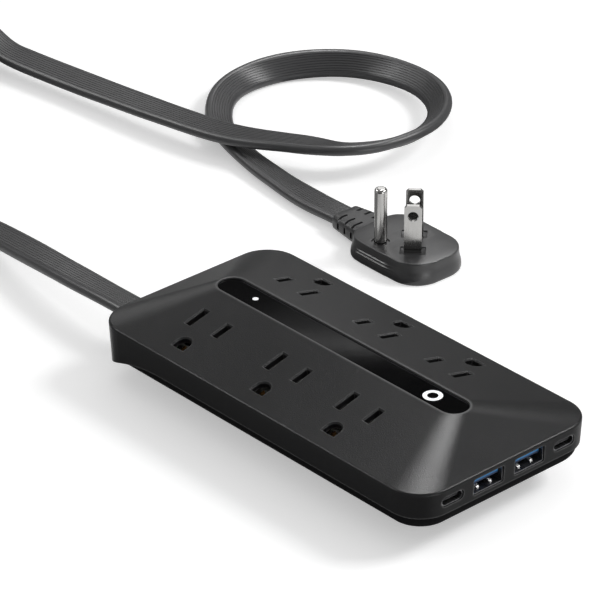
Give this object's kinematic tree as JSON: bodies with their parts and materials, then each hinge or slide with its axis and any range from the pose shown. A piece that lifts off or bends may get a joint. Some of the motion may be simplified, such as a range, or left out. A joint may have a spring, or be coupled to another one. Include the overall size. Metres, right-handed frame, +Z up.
{
  "type": "power strip",
  "caption": "Rectangular power strip with sloped rows of grounded outlets, a crest panel with a push button, USB ports at one end, and a flat ribbed cord with a flat angled plug.",
  "frame": {"origin": "middle of the case on the surface it stands on, under its feet", "axes": "+X along the case towards the USB end, with the cord leaving at -X; +Y across it; +Z up"},
  "size_m": [0.4858, 0.2372, 0.032],
  "materials": {
    "case_plastic": "fine grained, satin",
    "panel_gloss": "high gloss",
    "button_plastic": "satin",
    "light_white": "frosted",
    "rubber_feet": "matt",
    "cord_pvc": "satin, ribbed",
    "plug_plastic": "satin",
    "nickel": "polished",
    "bronze": "bright",
    "steel": "plated",
    "port_steel": "bright",
    "port_blue": "gloss",
    "port_black": "gloss",
    "board": "lacquered",
    "carrier": "satin",
    "component_black": "satin",
    "component_blue": "lacquered",
    "component_yellow": "tape wrapped",
    "capacitor_metal": "sleeved can",
    "wire_black": "insulated",
    "wire_white": "insulated",
    "wire_green": "insulated",
    "tie_black": "satin"
  },
  "bodies": {
    "case": {"top_cover": "case_plastic", "bottom_cover": "case_plastic", "crest_panel": "panel_gloss", "tact_switch": "component_black", "control_board": "board", "indicator_lens": "light_white", "indicator_led": "light_white", "indicator_board": "board", "usb_board": "board", "relay": "component_black", "usb_transformer": "component_yellow", "usb_capacitors": "capacitor_metal", "surge_board": "board", "varistors": "component_blue", "thermal_fuse": "capacitor_metal", "filter_capacitor": "component_yellow", "cord_gland": "cord_pvc", "cord_inner_end": "cord_pvc", "cord_clamp": "carrier", "clamp_screws": "steel", "cover_screws": "steel", "rubber_feet": "rubber_feet", "line_lead": "wire_black", "neutral_lead": "wire_white", "ground_lead": "wire_green", "line_link": "wire_black", "neutral_link": "wire_white", "ground_link": "wire_green", "plug_body": "plug_plastic", "plug_relief": "plug_plastic", "line_blade": "nickel", "neutral_blade": "nickel", "ground_pin": "nickel", "cord_lead": "cord_pvc", "cord_run": "cord_pvc", "cord_coil": "cord_pvc", "cord_tie": "tie_black", "near_line_bus": "bronze", "near_neutral_bus": "bronze", "near_ground_bus": "bronze", "near_contact_carrier": "carrier", "far_line_bus": "bronze", "far_neutral_bus": "bronze", "far_ground_bus": "bronze", "far_contact_carrier": "carrier", "usb_a_shell_1": "port_steel", "usb_a_insert_1": "port_blue", "usb_c_shell_1": "port_steel", "usb_c_insert_1": "port_black", "usb_a_shell_2": "port_steel", "usb_a_insert_2": "port_blue", "usb_c_shell_2": "port_steel", "usb_c_insert_2": "port_black"},
    "button": {"power_button": "button_plastic", "light_ring": "light_white", "tact_plunger": "component_black", "button_spring": "steel"}
  },
  "joints": [
    {"name": "button_press", "type": "slide", "parent": "case", "child": "button", "axis": [0, 0, -1], "range_m": [0, 0.001], "stiffness_N_per_m": 1200, "springref_m": -0.0008, "deforming": ["button_spring"]}
  ]
}
